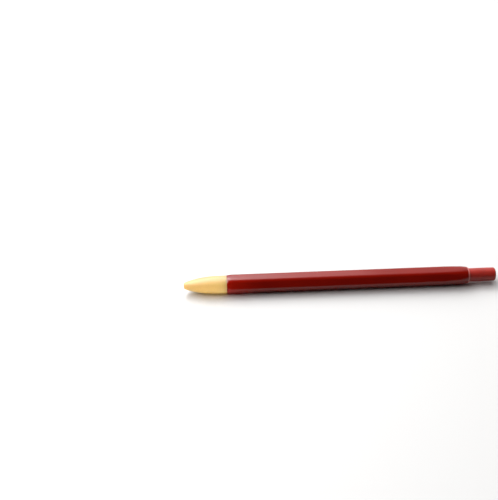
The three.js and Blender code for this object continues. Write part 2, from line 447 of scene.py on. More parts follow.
class Shader:
    """A node tree while it is made."""

    # A Mix node has one set of inputs for each kind of value, and these numbers are the colours'.
    MIX_SHARE, MIX_FIRST, MIX_SECOND, MIX_RESULT = 0, 6, 7, 2
    # How many finer layers a noise pattern has.
    NOISE_DETAIL = 3

    def __init__(self, owner: bpy.types.Material | bpy.types.World) -> None:
        """Empties the owner's node tree.

        Args:
            owner: The material or the world that the tree belongs to.
        """
        owner.use_nodes = True
        self.tree = owner.node_tree
        self.tree.nodes.clear()

    def node(
        self, kind: str, settings: dict[str, object] | None = None, inputs: dict | None = None
    ) -> bpy.types.Node:
        """Adds a node.

        Args:
            kind: The node's type.
            settings: Its own settings, which are set first.
            inputs: Values, Value objects or sockets, by the name or number of the input.

        Returns:
            The node.
        """
        node = self.tree.nodes.new(kind)
        for name, setting in (settings or {}).items():
            setattr(node, name, setting)
        for name, given in (inputs or {}).items():
            if isinstance(given, Value):
                self.tree.links.new(given.socket, node.inputs[name])
            elif isinstance(given, bpy.types.NodeSocket):
                self.tree.links.new(given, node.inputs[name])
            else:
                node.inputs[name].default_value = given
        return node

    def value(
        self, kind: str, settings: dict[str, object] | None = None, inputs: dict | None = None
    ) -> Value:
        """Adds a node and gives its first output as a value.

        Args:
            kind: The node's type.
            settings: Its own settings.
            inputs: What its inputs hold.

        Returns:
            The value.
        """
        return Value(self, self.node(kind, settings, inputs).outputs[0])

    def mixed(
        self, share: Value, low: Colour | bpy.types.NodeSocket, high: Colour
    ) -> bpy.types.NodeSocket:
        """Mixes two colours.

        Args:
            share: How much of the second colour there is.
            low: The first colour, or a socket that gives it.
            high: The second colour.

        Returns:
            The mixed colour.
        """
        first = low if isinstance(low, bpy.types.NodeSocket) else (*low, 1)
        inputs = {self.MIX_SHARE: share, self.MIX_FIRST: first, self.MIX_SECOND: (*high, 1)}
        return self.node("ShaderNodeMix", {"data_type": "RGBA"}, inputs).outputs[self.MIX_RESULT]

    def coordinates(self) -> tuple[bpy.types.NodeSocket, Value, Value, Value]:
        """Gives the place on the piece, centred on the pencil's axis.

        Returns:
            The place as a vector, and its three parts, in metres.
        """
        place = self.node("ShaderNodeTexCoord").outputs["Object"]
        centred = self.node(
            "ShaderNodeMapping", {}, {"Vector": place, "Location": (0, 0, -AXIS.height)}
        )
        parts = self.node("ShaderNodeSeparateXYZ", {}, {"Vector": centred.outputs[0]})
        return centred.outputs[0], *(Value(self, part) for part in parts.outputs)

    def noise(self, place: bpy.types.NodeSocket, size: float, way: Way) -> Value:
        """Gives a noise pattern.

        Args:
            place: The place on the piece.
            size: How wide its features are, in mm.
            way: How they lie on the piece.

        Returns:
            The noise, from 0 to 1.
        """
        scaled = self.node("ShaderNodeMapping", {}, {"Vector": place, "Scale": way.value})
        return self.value("ShaderNodeTexNoise", {}, {
            "Vector": scaled.outputs[0], "Scale": 1 / (size * MM), "Detail": self.NOISE_DETAIL,
        })


@dataclass(frozen=True)
class Grain:
    """A fine relief: how wide its features are and how deep, in mm, and how they lie."""

    size: float
    depth: float
    way: Way = Way.EVEN


@dataclass(frozen=True)
class Finish:
    """A finish of one material. Its sizes are in mm."""

    name: str
    colour: Colour
    tint: Colour
    roughness: float
    tint_size: float
    tint_from: float = 0.3
    tint_full: float = 0.7
    tint_way: Way = Way.EVEN
    roughness_spread: float = 0.06
    metallic: float = 0.0
    ior: float = 1.5
    subsurface: float = 0.0
    subsurface_radius: Colour = (1.0, 0.3, 0.2)
    subsurface_depth: float = 1.0
    grains: tuple[Grain, ...] = ()

    def wear(self, shader: Shader, parts: tuple[Value, Value, Value]) -> Value | None:
        """Gives where the finish is rubbed, or nothing where it is new all over."""
        return None

    def base(self, shader: Shader, share: Value, along: Value) -> bpy.types.NodeSocket:
        """Gives the base colour.

        Args:
            shader: The node tree.
            share: Where the tint shows.
            along: The place along the axis.

        Returns:
            The colour.
        """
        return shader.mixed(share, self.colour, self.tint)

    def relief(
        self, shader: Shader, place: bpy.types.NodeSocket
    ) -> dict[str, bpy.types.NodeSocket]:
        """Lays the grains over each other.

        Args:
            shader: The node tree.
            place: The place on the piece.

        Returns:
            The normal by its input's name, or nothing where the finish has no grain.
        """
        normal: dict[str, bpy.types.NodeSocket] = {}
        for grain in self.grains:
            height = shader.noise(place, grain.size, grain.way)
            inputs = {"Height": height, "Distance": grain.depth * MM, "Strength": 1.0, **normal}
            normal = {"Normal": shader.node("ShaderNodeBump", {}, inputs).outputs[0]}
        return normal

    def material(self) -> bpy.types.Material:
        """Makes the material.

        Returns:
            The material.
        """
        material = bpy.data.materials.new(self.name)
        shader = Shader(material)
        place, *parts = shader.coordinates()
        clouds = shader.noise(place, self.tint_size, self.tint_way)
        share = clouds.rise(self.tint_from, self.tint_full)
        roughness = self.roughness + (clouds - NOISE_MIDDLE) * (self.roughness_spread / NOISE_MIDDLE)
        rubbed = self.wear(shader, tuple(parts))
        if rubbed is not None:
            share = share.math("MAXIMUM", rubbed)
            roughness = roughness + rubbed * self.roughness_spread
        principled = shader.node("ShaderNodeBsdfPrincipled", {"subsurface_method": "BURLEY"}, {
            "Base Color": self.base(shader, share, parts[0]),
            "Roughness": roughness,
            "Metallic": self.metallic,
            "IOR": self.ior,
            "Subsurface Weight": self.subsurface,
            "Subsurface Radius": self.subsurface_radius,
            "Subsurface Scale": self.subsurface_depth * MM,
            **self.relief(shader, place),
        })
        shader.node("ShaderNodeOutputMaterial", {}, {"Surface": principled.outputs[0]})
        return material


@dataclass(frozen=True)
class RidgedFinish(Finish):
    """A finish of a hexagonal barrel: rubbed in patches on its ridges, with a painted highlight at
    its thin rim.

    The patch scale is about the number of patches in a metre.
    """

    worn_from: float = 4.34
    worn_edge: float = 0.2
    patch_scale: float = 90.0
    patch_detail: float = 4.0
    rim_highlight_width: float = 0.8
    rim_highlight_edge: float = 0.1
    painted_rim_highlight: Colour = (0.85, 0.24, 0.22)

    def base(self, shader: Shader, share: Value, along: Value) -> bpy.types.NodeSocket:
        """Gives the base colour, with a painted highlight at the rim: a paler band that stands in for
        the light line there.

        Args:
            shader: The node tree.
            share: Where the tint shows.
            along: The place along the axis.

        Returns:
            The colour.
        """
        # Painted highlight: a pale band painted round the rear rim stands in for the light line that
        # the rim's edge catches.
        rim_highlight_front = AXIS.point(AXIS.span("barrel")[1] - self.rim_highlight_width, 0).x
        rim = along.rise(rim_highlight_front - self.rim_highlight_edge * MM, rim_highlight_front + self.rim_highlight_edge * MM)
        return shader.mixed(rim, super().base(shader, share, along), self.painted_rim_highlight)

    def wear(self, shader: Shader, parts: tuple[Value, Value, Value]) -> Value:
        """Gives where the finish is rubbed: past a radius that only the ridges reach.

        Args:
            shader: The node tree.
            parts: The three parts of the place on the piece.

        Returns:
            The rubbed share.
        """
        along, across, up = parts
        radius = (across * across + up * up) ** 0.5
        ridges = radius.rise(self.worn_from * MM, (self.worn_from + self.worn_edge) * MM)
        patches = shader.value("ShaderNodeTexNoise", {"noise_dimensions": "1D"}, {
            "W": along, "Scale": self.patch_scale, "Detail": self.patch_detail,
        })
        return ridges * patches


@dataclass(frozen=True)
class Palette:
    """The pencil's finishes."""

    barrel: Finish = RidgedFinish(
        "red_brown_gloss", (0.30, 0.006, 0.001), (0.27, 0.005, 0.001), 0.15,
        tint_size=14, roughness_spread=0.03,
        grains=(Grain(9, 0.012, Way.DRAWN), Grain(0.25, 0.0006)),
    )
    button: Finish = Finish(
        "red_brown_satin", (0.47, 0.03, 0.02), (0.42, 0.026, 0.017), 0.36,
        tint_size=5, roughness_spread=0.04, subsurface=0.2, subsurface_radius=(1.0, 0.15, 0.1),
        subsurface_depth=0.8, grains=(Grain(0.18, 0.004),),
    )
    nose: Finish = Finish(
        "cream_matt", (0.77, 0.475, 0.115), (0.74, 0.445, 0.105), 0.55,
        tint_size=7, roughness_spread=0.04, ior=2.3, subsurface=1.0,
        subsurface_radius=(1.0, 0.75, 0.45), subsurface_depth=5.0, grains=(Grain(0.2, 0.005),),
    )
    lead: Finish = Finish(
        "waxy_lead", (0.27, 0.02, 0.013), (0.17, 0.012, 0.009), 0.5,
        tint_size=0.5, roughness_spread=0.1, subsurface=0.15, subsurface_depth=0.3,
        grains=(Grain(0.12, 0.012, Way.DRAWN), Grain(0.3, 0.02)),
    )
    natural: Finish = Finish(
        "milky_plastic", (0.83, 0.81, 0.75), (0.78, 0.76, 0.69), 0.38,
        tint_size=3, subsurface=0.4, subsurface_radius=(1.0, 0.9, 0.8),
        grains=(Grain(0.25, 0.003),),
    )
    brass: Finish = Finish(
        "turned_brass", (0.68, 0.45, 0.16), (0.56, 0.35, 0.11), 0.26,
        tint_size=1.5, tint_way=Way.TURNED, roughness_spread=0.08, metallic=1.0,
        grains=(Grain(0.09, 0.004, Way.TURNED),),
    )
    steel: Finish = Finish(
        "drawn_steel", (0.55, 0.56, 0.58), (0.42, 0.42, 0.43), 0.24,
        tint_size=1.0, roughness_spread=0.08, metallic=1.0, grains=(Grain(0.1, 0.003),),
    )
    rubber: Finish = Finish(
        "black_rubber", (0.03, 0.03, 0.031), (0.045, 0.044, 0.043), 0.7,
        tint_size=0.8, grains=(Grain(0.1, 0.01),),
    )


@dataclass(frozen=True)
class Thread:
    """A screw thread: where it runs along the axis, its pitch and its depth, in mm.

    The flat share is the part of a turn that is crest, and as much of it is root. The rings are
    rings of vertices for each turn.
    """

    front: float
    rear: float
    pitch: float = 1.0
    depth: float = 0.2
    flat_share: float = 0.25
    rings: int = 9

    def places(self) -> list[float]:
        """Gives the places along the axis that the thread needs for its shape."""
        count = round((self.rear - self.front) / self.pitch * self.rings)
        return [self.front + (self.rear - self.front) * step / count for step in range(count + 1)]

    def groove(self, along: float, angle: float) -> float:
        """Gives how deep the groove is at a place.

        Args:
            along: Millimetres from the mouth.
            angle: Angle round the axis.

        Returns:
            The depth in mm.
        """
        if not self.front <= along <= self.rear:
            return 0.0
        turn = (along / self.pitch + angle / math.tau) % 1
        off_crest = abs(2 * turn - 1)
        flank = min(1.0, max(0.0, (off_crest - self.flat_share) / (1 - 2 * self.flat_share)))
        runout = min(1.0, (along - self.front) / self.pitch, (self.rear - along) / self.pitch)
        return self.depth * flank * runout


@dataclass
class Barrel:
    """The hexagonal barrel, with its socket for the nose and its long bore.

    Sizes are in mm. The blank is turned to a little past the ridges. Its lead-in and its drawn-in
    end melt into the flats where their radii differ by less than the melt. Vertices inside the
    socket's radius and its margin belong to the bore and the socket.
    """

    palette: Palette
    flat: float = 4.2
    ridge_rounding: float = 2.0
    crown: float = 0.02
    past_ridges: float = 0.05
    front_radius: float = 4.12
    lead_in: float = 2.3
    drawn_in: float = 13.0
    rim_radius: float = 3.6
    rim_rounding: float = 0.25
    melt: float = 0.35
    socket_radius: float = 3.45
    socket_margin: float = 0.12
    mouth_chamfer: Point = (0.3, 0.15)
    web_front: float = 28.4
    web_rear: float = 30.4
    web_hole: float = 2.85
    bore: float = 3.25
    lead_in_rings: int = 16
    drawn_in_rings: int = 40
    ring_past_lead_in: float = 1.5
    middle_rings_from: int = 30
    middle_rings_apart: int = 8
    steps_per_side: int = 18
    steps_on_ridge: int = 9
    steps_past_ridge: int = 2
    past_ridge_stretch: float = 1.12
    thread: Thread = Thread(21.0, 26.6, depth=0.18)

    def __post_init__(self) -> None:
        """Takes the barrel's ends from the frame, and works out its hexagon."""
        self.front, self.rear, _ = AXIS.span("barrel")
        self.drawn_from = self.rear - self.rim_rounding - self.drawn_in
        self.ridge_centre = (self.flat - self.ridge_rounding) / math.cos(HALF_SIDE)
        self.reach = self.ridge_centre + self.ridge_rounding + self.past_ridges
        arc_end = self.ridge_centre + self.ridge_rounding * math.cos(HALF_SIDE)
        self.ridge_arc = math.atan2(self.ridge_rounding * math.sin(HALF_SIDE), arc_end)

    def section(self, off_ridge: float) -> float:
        """Gives the radius of the hexagonal section.

        Args:
            off_ridge: Angle from the nearest ridge.

        Returns:
            The radius in mm.
        """
        if off_ridge > self.ridge_arc:
            off_middle = HALF_SIDE - off_ridge
            fall = math.tan(off_middle) / math.tan(HALF_SIDE - self.ridge_arc)
            return self.flat / math.cos(off_middle) - self.crown * fall**2
        height = self.ridge_centre * math.sin(off_ridge)
        on_arc = self.ridge_centre * math.cos(off_ridge)
        return on_arc + math.sqrt(self.ridge_rounding**2 - height**2) - self.crown

    def envelope(self, along: float) -> tuple[float, float]:
        """Gives the turned limit of the barrel and how softly it meets the hexagon.

        Args:
            along: Millimetres from the mouth.

        Returns:
            The limit's radius and the width of the soft edge, in mm.
        """
        led_in = max(along - self.front, 0) / self.lead_in
        if led_in < 1:
            rise = math.sin(led_in * math.pi / 2)
            radius = self.front_radius + (self.reach - self.front_radius) * rise
            return radius, self.melt * math.sin(math.pi * led_in)
        drawn_in = min((along - self.drawn_from) / self.drawn_in, 1.0)
        if drawn_in > 0:
            fall = math.sqrt(1 - drawn_in**2)
            radius = self.rim_radius + (self.reach - self.rim_radius) * fall
            return radius, self.melt * math.sin(math.pi * drawn_in)
        return self.reach, 0.0

    def stations(self) -> list[float]:
        """Gives the places along the axis where the outer wall has a ring of vertices.

        Returns:
            The places in mm, from the front to the rear.
        """
        shares = [step / self.lead_in_rings for step in range(1, self.lead_in_rings + 1)]
        lead_in = [self.front + self.lead_in * share for share in shares]
        middle = range(self.middle_rings_from, int(self.drawn_from), self.middle_rings_apart)
        shares = [step / self.drawn_in_rings for step in range(1, self.drawn_in_rings + 1)]
        drawn_in = [
            self.drawn_from + self.drawn_in * math.sin(math.pi / 2 * share) for share in shares
        ]
        return [*lead_in, lead_in[-1] + self.ring_past_lead_in, *middle, self.drawn_from, *drawn_in]

    def outline(self) -> list[Point]:
        """Gives the outline that the barrel is turned from.

        Returns:
            The outline's points.
        """
        chamfer_length, chamfer_height = self.mouth_chamfer
        return ring([
            *(Corner(along, self.envelope(along)[0]) for along in self.stations()),
            Corner(self.rear, self.rim_radius, self.rim_rounding),
            Corner(self.rear, self.bore, Edge.PLAIN),
            Corner(self.web_rear, self.bore, Edge.FULL),
            Corner(self.web_rear, self.web_hole, Edge.PLAIN),
            Corner(self.web_front, self.web_hole, Edge.PLAIN),
            Corner(self.web_front, self.socket_radius),
            *(Corner(along, self.socket_radius) for along in reversed(self.thread.places())),
            Corner(self.front + chamfer_length, self.socket_radius),
            Corner(self.front, self.socket_radius + chamfer_height),
            Corner(self.front, self.front_radius),
        ], steps=6)

    def spread(self, angle: float) -> tuple[float, float]:
        """Crowds the vertices of a ring at the ridges.

        Args:
            angle: Angle of a vertex of the evenly turned ring.

        Returns:
            The vertex's new angle and its angle from the nearest ridge.
        """
        side = 2 * HALF_SIDE
        ridge = round(angle / side)
        even = angle - ridge * side
        share = abs(even) / HALF_SIDE
        arc_share, arc = self.steps_on_ridge / self.steps_per_side, self.ridge_arc
        edge_share = arc_share + self.steps_past_ridge / self.steps_per_side
        edge = arc * self.past_ridge_stretch
        if share < arc_share:
            off = arc * share / arc_share
        elif share < edge_share:
            off = arc + (edge - arc) * (share - arc_share) / (edge_share - arc_share)
        else:
            off = edge + (HALF_SIDE - edge) * (share - edge_share) / (1 - edge_share)
        return ridge * side + math.copysign(off, even), off

    def shape(self, along: float, angle: float, radius: float) -> tuple[float, float]:
        """Gives a vertex of the turned blank its place on the hexagonal barrel.

        Args:
            along: Millimetres from the mouth.
            angle: Angle round the axis.
            radius: Millimetres from the axis.

        Returns:
            The new angle and radius.
        """
        new_angle, off_ridge = self.spread(angle)
        if radius < self.socket_radius + self.socket_margin:
            threaded = abs(radius - self.socket_radius) < SAME_RADIUS
            return new_angle, radius + (self.thread.groove(along, new_angle) if threaded else 0.0)
        limit, melt = self.envelope(along)
        if radius < limit - SAME_RADIUS:
            return new_angle, radius
        return new_angle, melted(self.section(off_ridge), radius, melt)

    def build(self) -> None:
        """Builds and dresses the barrel."""
        piece = Workshop.turned("barrel_shell", self.outline(), SIDES * self.steps_per_side)
        Workshop.reshape(piece, self.shape)
        Workshop.seat(piece, Body.HOUSING, Slot.BARREL, self.palette.barrel, "barrel")


@dataclass
class Nose:
    """The cream nose cone, with its threaded spigot, and the rubber ring behind its mouth.

    Sizes are in mm. The mouth of the nose is at 0.
    """

    palette: Palette
    tip_radius: float = 1.35
    tip_length: float = 0.8
    mouth_edge: float = 1.14
    base_radius: float = 4.12
    length: float = 19.8
    fullness: float = 3.0
    mouth_radius: float = 1.1
    mouth_length: float = 3.2
    pocket_radius: float = 1.76
    pocket_rear: float = 5.8
    head_room: float = 2.41
    ring_stop: float = 9.5
    chamber: float = 2.85
    spigot_radius: float = 3.35
    spigot_chamfer: float = 0.3
    undercut_flank: float = 0.2
    undercut_land: float = 0.1
    lip: float = 0.48
    ring_wall: float = 0.7
    tip_rings: int = 10
    ogive_rings: int = 44
    ring_crowding: float = 1.3
    thread: Thread = Thread(20.9, 26.3)

    def ogive(self, along: float) -> float:
        """Gives the nose's radius at a place along it.

        Args:
            along: Millimetres from the mouth.

        Returns:
            The radius in mm.
        """
        left = 1 - along / self.length
        radius = self.tip_radius + (self.base_radius - self.tip_radius) * (1 - left**self.fullness)
        left_of_tip = max(0.0, 1 - along / self.tip_length)
        return radius - (self.tip_radius - self.mouth_edge) * left_of_tip**2

    def stations(self) -> list[float]:
        """Gives the places along the axis where the ogive has a ring of vertices.

        Returns:
            The places in mm, from the front to the rear.
        """
        turns = [math.pi / 2 * step / self.tip_rings for step in range(self.tip_rings)]
        tip = [self.tip_length * (1 - math.cos(turn)) for turn in turns]
        beyond = self.length - self.tip_length
        shares = [(step / self.ogive_rings) ** self.ring_crowding for step in range(self.ogive_rings)]
        return tip + [self.tip_length + beyond * share for share in shares]

    def outline(self) -> list[Point]:
        """Gives the outline that the nose is turned from.

        Returns:
            The outline's points.
        """
        _, spigot_rear, _ = AXIS.span("nose_cone")
        undercut_radius = self.spigot_radius - self.thread.depth
        undercut_rear = self.thread.front - self.undercut_land
        return ring([
            *(Corner(along, self.ogive(along)) for along in self.stations()),
            Corner(self.length, self.base_radius, Edge.CRISP),
            Corner(self.length, undercut_radius, Edge.CRISP),
            Corner(undercut_rear - self.undercut_flank, undercut_radius),
            Corner(undercut_rear, self.spigot_radius),
            *(Corner(along, self.spigot_radius) for along in self.thread.places()),
            Corner(spigot_rear - self.spigot_chamfer, self.spigot_radius),
            Corner(spigot_rear, self.spigot_radius - self.spigot_chamfer, Edge.CLEAN),
            Corner(spigot_rear, self.chamber, Edge.CLEAN),
            Corner(self.ring_stop, self.chamber, Edge.PLAIN),
            Corner(self.ring_stop, self.head_room, Edge.CRISP),
            Corner(self.pocket_rear, self.head_room, Edge.PLAIN),
            Corner(self.pocket_rear, self.pocket_radius),
            Corner(self.mouth_length, self.pocket_radius),
            Corner(self.mouth_length, self.mouth_radius, Edge.CRISP),
            Corner(0, self.mouth_radius, Edge.CRISP),
        ], steps=6)

    def shape(self, along: float, angle: float, radius: float) -> tuple[float, float]:
        """Cuts the thread into the spigot.

        Args:
            along: Millimetres from the mouth.
            angle: Angle round the axis.
            radius: Millimetres from the axis.

        Returns:
            The angle and the new radius.
        """
        on_spigot = abs(radius - self.spigot_radius) < SAME_RADIUS
        return angle, radius - (self.thread.groove(along, angle) if on_spigot else 0.0)

    def build_cone(self) -> None:
        """Turns the nose cone and cuts its thread."""
        piece = Workshop.turned("nose_shell", self.outline(), steps=108)
        Workshop.reshape(piece, self.shape)
        Workshop.seat(piece, Body.NOSE, Slot.NOSE, self.palette.nose, "nose_cone")

    def build_retainer(self) -> None:
        """Turns the rubber ring that keeps the lead from falling."""
        front, rear, radius = AXIS.span("lead_retainer")
        grip = radius - self.ring_wall
        piece = Workshop.turned("lead_retainer_ring", ring([
            Corner(front, (radius - Edge.EASED + grip + self.lip) / 2),
            Corner(front, radius, Edge.EASED),
            Corner(rear, radius, Edge.EASED),
            Corner(rear, grip, self.lip),
            Corner(front, grip, self.lip),
        ], steps=8), steps=64)
        Workshop.seat(piece, Body.RETAINER, Slot.RUBBER, self.palette.rubber, "lead_retainer")

    def build(self) -> None:
        """Builds and dresses the nose and its retainer."""
        self.build_cone()
        self.build_retainer()


@dataclass
class Clutch:
    """The clutch: collet with three jaws, wedge ring, guide sleeve and return spring.

    Sizes are in mm.
    """

    palette: Palette
    grip: float = 1.03
    grip_length: float = 3.6
    relief_chamfer: float = 0.15
    shank_bore: float = 1.15
    shank: float = 1.6
    land: float = 0.9
    front_chamfer: float = 0.4
    wedge: float = math.radians(6)
    grooves: int = 6
    first_groove: float = 0.7
    groove_pitch: float = 0.45
    groove_half_width: float = 0.12
    groove_depth: float = 0.08
    jaws: int = 3
    slit_width: float = 0.45
    slit_length: float = 11.7
    saw_overhang: float = 1.0
    wedge_clearance: float = 0.03
    sleeve_bore: float = 2.2
    sleeve_radius: float = 2.75
    sleeve_end_wall: float = 1.2
    shank_clearance: float = 0.1
    flange_front: float = 26.85
    flange_rear: float = 28.35
    wire: float = 0.4
    coil: float = 1.9
    turns: int = 12
    end_pitch: float = 0.55
    points_per_turn: int = 28
    wire_resolution: int = 3

    def wedge_radius(self, along: float) -> float:
        """Gives the radius of the jaws' wedge.

        Args:
            along: Millimetres from the mouth.

        Returns:
            The radius in mm.
        """
        front, _, head = AXIS.span("collet")
        wedge_front = front + self.front_chamfer + self.land
        return head - max(0.0, along - wedge_front) * math.tan(self.wedge)

    def grip_grooves(self, front: float) -> list[Corner]:
        """Gives the grooves that help the jaws to hold the lead.

        Args:
            front: Where the collet begins.

        Returns:
            The grooves' corners, from the rear to the front.
        """
        half, depth = self.groove_half_width, self.groove_depth
        return [
            Corner(front + self.first_groove + self.groove_pitch * groove + shift, self.grip + cut)
            for groove in reversed(range(self.grooves))
            for shift, cut in ((half, 0), (0, depth), (-half, 0))
        ]

    def saw_slits(self, collet: bpy.types.Object) -> None:
        """Saws the slits that part the jaws.

        Args:
            collet: The turned collet.
        """
        front, _, head = AXIS.span("collet")
        length, reach = self.slit_length + self.saw_overhang, head + self.saw_overhang
        for jaw in range(self.jaws):
            angle = math.tau * jaw / self.jaws + math.pi / 2
            place = AXIS.point(front - self.saw_overhang + length / 2, reach / 2, angle)
            Workshop.deselect()
            bpy.ops.mesh.primitive_cube_add(size=1, location=place, rotation=(angle, 0, 0))
            saw = bpy.context.object
            saw.scale = (length * MM, reach * MM, self.slit_width * MM)
            bpy.ops.object.transform_apply(location=True, rotation=True, scale=True)
            Workshop.cut(collet, saw)

    def build_collet(self) -> None:
        """Turns the collet and saws its slits."""
        front, rear, head = AXIS.span("collet")
        land_end = front + self.front_chamfer + self.land
        wedge_end = land_end + (head - self.shank) / math.tan(self.wedge)
        piece = Workshop.turned("collet_jaws", ring([
            Corner(front, (head + self.grip) / 2),
            Corner(front, head - self.front_chamfer, Edge.PLAIN),
            Corner(front + self.front_chamfer, head, Edge.SOFT),
            Corner(land_end, head, Edge.DEEP),
            Corner(wedge_end, self.shank, Edge.WIDE),
            Corner(rear, self.shank, Edge.EASED),
            Corner(rear, self.shank_bore, Edge.CRISP),
            Corner(front + self.grip_length + self.relief_chamfer, self.shank_bore),
            Corner(front + self.grip_length, self.grip),
            *self.grip_grooves(front),
            Corner(front, self.grip, Edge.PLAIN),
        ]))
        self.saw_slits(piece)
        Workshop.seat(piece, Body.PLUNGER, Slot.BRASS, self.palette.brass, "collet")

    def build_ring(self) -> None:
        """Turns the brass ring that holds the jaws shut."""
        front, rear, radius = AXIS.span("clutch_ring")
        wide, narrow = self.wedge_radius(front), self.wedge_radius(rear)
        piece = Workshop.turned("wedge_ring", ring([
            Corner(front, (radius + wide) / 2),
            Corner(front, radius, Edge.FULL),
            Corner(rear, radius, Edge.FULL),
            Corner(rear, narrow + self.wedge_clearance, Edge.FINE),
            Corner(front, wide + self.wedge_clearance, Edge.FINE),
        ]))
        Workshop.seat(piece, Body.CLUTCH, Slot.BRASS, self.palette.brass, "clutch_ring")

    def build_sleeve(self) -> None:
        """Turns the flanged sleeve that the spring stands in."""
        front, rear, flange = AXIS.span("guide_sleeve")
        hole = max(self.shank, self.wedge_radius(front)) + self.shank_clearance
        bottom = front + self.sleeve_end_wall
        piece = Workshop.turned("guide_sleeve_shell", ring([
            Corner(front, (self.sleeve_radius + hole) / 2),
            Corner(front, self.sleeve_radius, Edge.SOFT),
            Corner(self.flange_front, self.sleeve_radius, Edge.PLAIN),
            Corner(self.flange_front, flange, Edge.SOFT),
            Corner(self.flange_rear, flange, Edge.SOFT),
            Corner(self.flange_rear, self.sleeve_radius, Edge.PLAIN),
            Corner(rear, self.sleeve_radius, Edge.EASED),
            Corner(rear, self.sleeve_bore, Edge.EASED),
            Corner(bottom, self.sleeve_bore, Edge.PLAIN),
            Corner(bottom, hole, Edge.PLAIN),
            Corner(front, hole, Edge.PLAIN),
        ]), steps=72)
        Workshop.seat(piece, Body.HOUSING, Slot.NATURAL, self.palette.natural, "guide_sleeve")

    def wound_wire(self) -> bpy.types.Object:
        """Winds the return spring's wire, with a close turn at each end.

        Returns:
            The wire as a mesh.
        """
        front, rear, _ = AXIS.span("return_spring")
        open_span = rear - front - self.wire - 2 * self.end_pitch
        open_pitch = open_span / (self.turns - 2)
        line = bpy.data.curves.new("return_spring_coil", "CURVE")
        line.dimensions = "3D"
        line.bevel_depth = self.wire / 2 * MM
        line.bevel_resolution = self.wire_resolution
        line.use_fill_caps = True
        spline = line.splines.new("POLY")
        spline.points.add(self.turns * self.points_per_turn)
        for index, point in enumerate(spline.points):
            turn = index / self.points_per_turn
            closed = min(turn, 1) + max(turn - (self.turns - 1), 0)
            along = front + self.wire / 2 + closed * self.end_pitch + (turn - closed) * open_pitch
            point.co = (*AXIS.point(along, self.coil, turn * math.tau), 1)
        wire = bpy.data.objects.new("return_spring_coil", line)
        bpy.context.scene.collection.objects.link(wire)
        Workshop.pick(wire)
        bpy.ops.object.convert(target="MESH")
        return Workshop.name(bpy.context.object, "return_spring_coil")

    def build_spring(self) -> None:
        """Winds the return spring."""
        piece = self.wound_wire()
        steel = self.palette.steel
        Workshop.seat(piece, Body.HOUSING, Slot.STEEL, steel, "return_spring", sharp_from=50)
        front, rear, _ = AXIS.span("return_spring")
        push = next(joint for joint in frame["joints"] if joint["name"] == "button_push")
        seat = (AXIS.point(front, 0).x, 0, AXIS.height)
        keep = 1 - push["range_m"][1] / ((rear - front) * MM)
        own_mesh(piece)

    def build(self) -> None:
        """Builds and dresses the clutch."""
        self.build_collet()
        self.build_ring()
        self.build_sleeve()
        self.build_spring()


@dataclass
class Plunger:
    """What the button moves: the collet's socket, the lead tube and the button itself.

    Sizes are in mm.
    """

    palette: Palette
    socket_bore: float = 1.62
    funnel_bore: float = 1.15
    seat_radius: float = 2.05
    collar_front: float = 35.45
    collet_stop: float = 35.85
    funnel_front: float = 36.85
    funnel_rear: float = 39.05
    tube_wall: float = 0.6
    tube_clearance: float = 0.02
    button_bore: float = 2.13
    button_inside: float = 143.8
    button_edge: float = 0.7
    stop_clearance: float = 0.05

    def build_socket(self) -> None:
        """Turns the coupling of collet and lead tube."""
        front, rear, collar = AXIS.span("collet_socket")
        tube = AXIS.span("lead_tube")[2]
        piece = Workshop.turned("collet_socket_shell", ring([
            Corner(front, (self.seat_radius + self.socket_bore) / 2),
            Corner(front, self.seat_radius, Edge.PLAIN),
            Corner(self.collar_front, self.seat_radius, Edge.FINE),
            Corner(self.collar_front, collar, Edge.EASED),
            Corner(rear, collar, Edge.EASED),
            Corner(rear, tube + self.tube_clearance, Edge.PLAIN),
            Corner(self.funnel_rear, tube + self.tube_clearance),
            Corner(self.funnel_rear, tube - self.tube_wall),
            Corner(self.funnel_front, self.funnel_bore, Edge.DEEP),
            Corner(self.collet_stop, self.funnel_bore),
            Corner(self.collet_stop, self.socket_bore),
            Corner(front, self.socket_bore, Edge.FINE),
        ]), steps=72)
        Workshop.seat(piece, Body.PLUNGER, Slot.NATURAL, self.palette.natural, "collet_socket")

    def build_tube(self) -> None:
        """Turns the lead tube."""
        front, rear, radius = AXIS.span("lead_tube")
        bore = radius - self.tube_wall
        piece = Workshop.turned("lead_tube_wall", ring([
            Corner(front, (radius + bore) / 2),
            Corner(front, radius, Edge.PLAIN),
            Corner(rear, radius, Edge.SOFT),
            Corner(rear, bore, Edge.SOFT),
            Corner(front, bore, Edge.PLAIN),
        ]), steps=72)
        Workshop.seat(piece, Body.PLUNGER, Slot.NATURAL, self.palette.natural, "lead_tube")

    def build_button(self) -> None:
        """Turns the push button: a deep cap with a rounded end."""
        front, rear, radius = AXIS.span("push_button")
        _, tube_rear, tube = AXIS.span("lead_tube")
        tube_stop, bore = tube_rear + self.stop_clearance, tube - self.tube_wall
        piece = Workshop.turned("push_button_cap", rounded([
            Corner(rear, 0),
            Corner(rear, radius, self.button_edge),
            Corner(front, radius, Edge.DEEP),
            Corner(front, self.button_bore, Edge.DEEP),
            Corner(tube_stop, self.button_bore),
            Corner(tube_stop, bore),
            Corner(self.button_inside, bore, Edge.DEEP),
            Corner(self.button_inside, 0),
        ], steps=8))
        Workshop.seat(piece, Body.BUTTON, Slot.BUTTON, self.palette.button, "push_button")

    def build(self) -> None:
        """Builds and dresses what the button moves."""
        self.build_socket()
        self.build_tube()
        self.build_button()


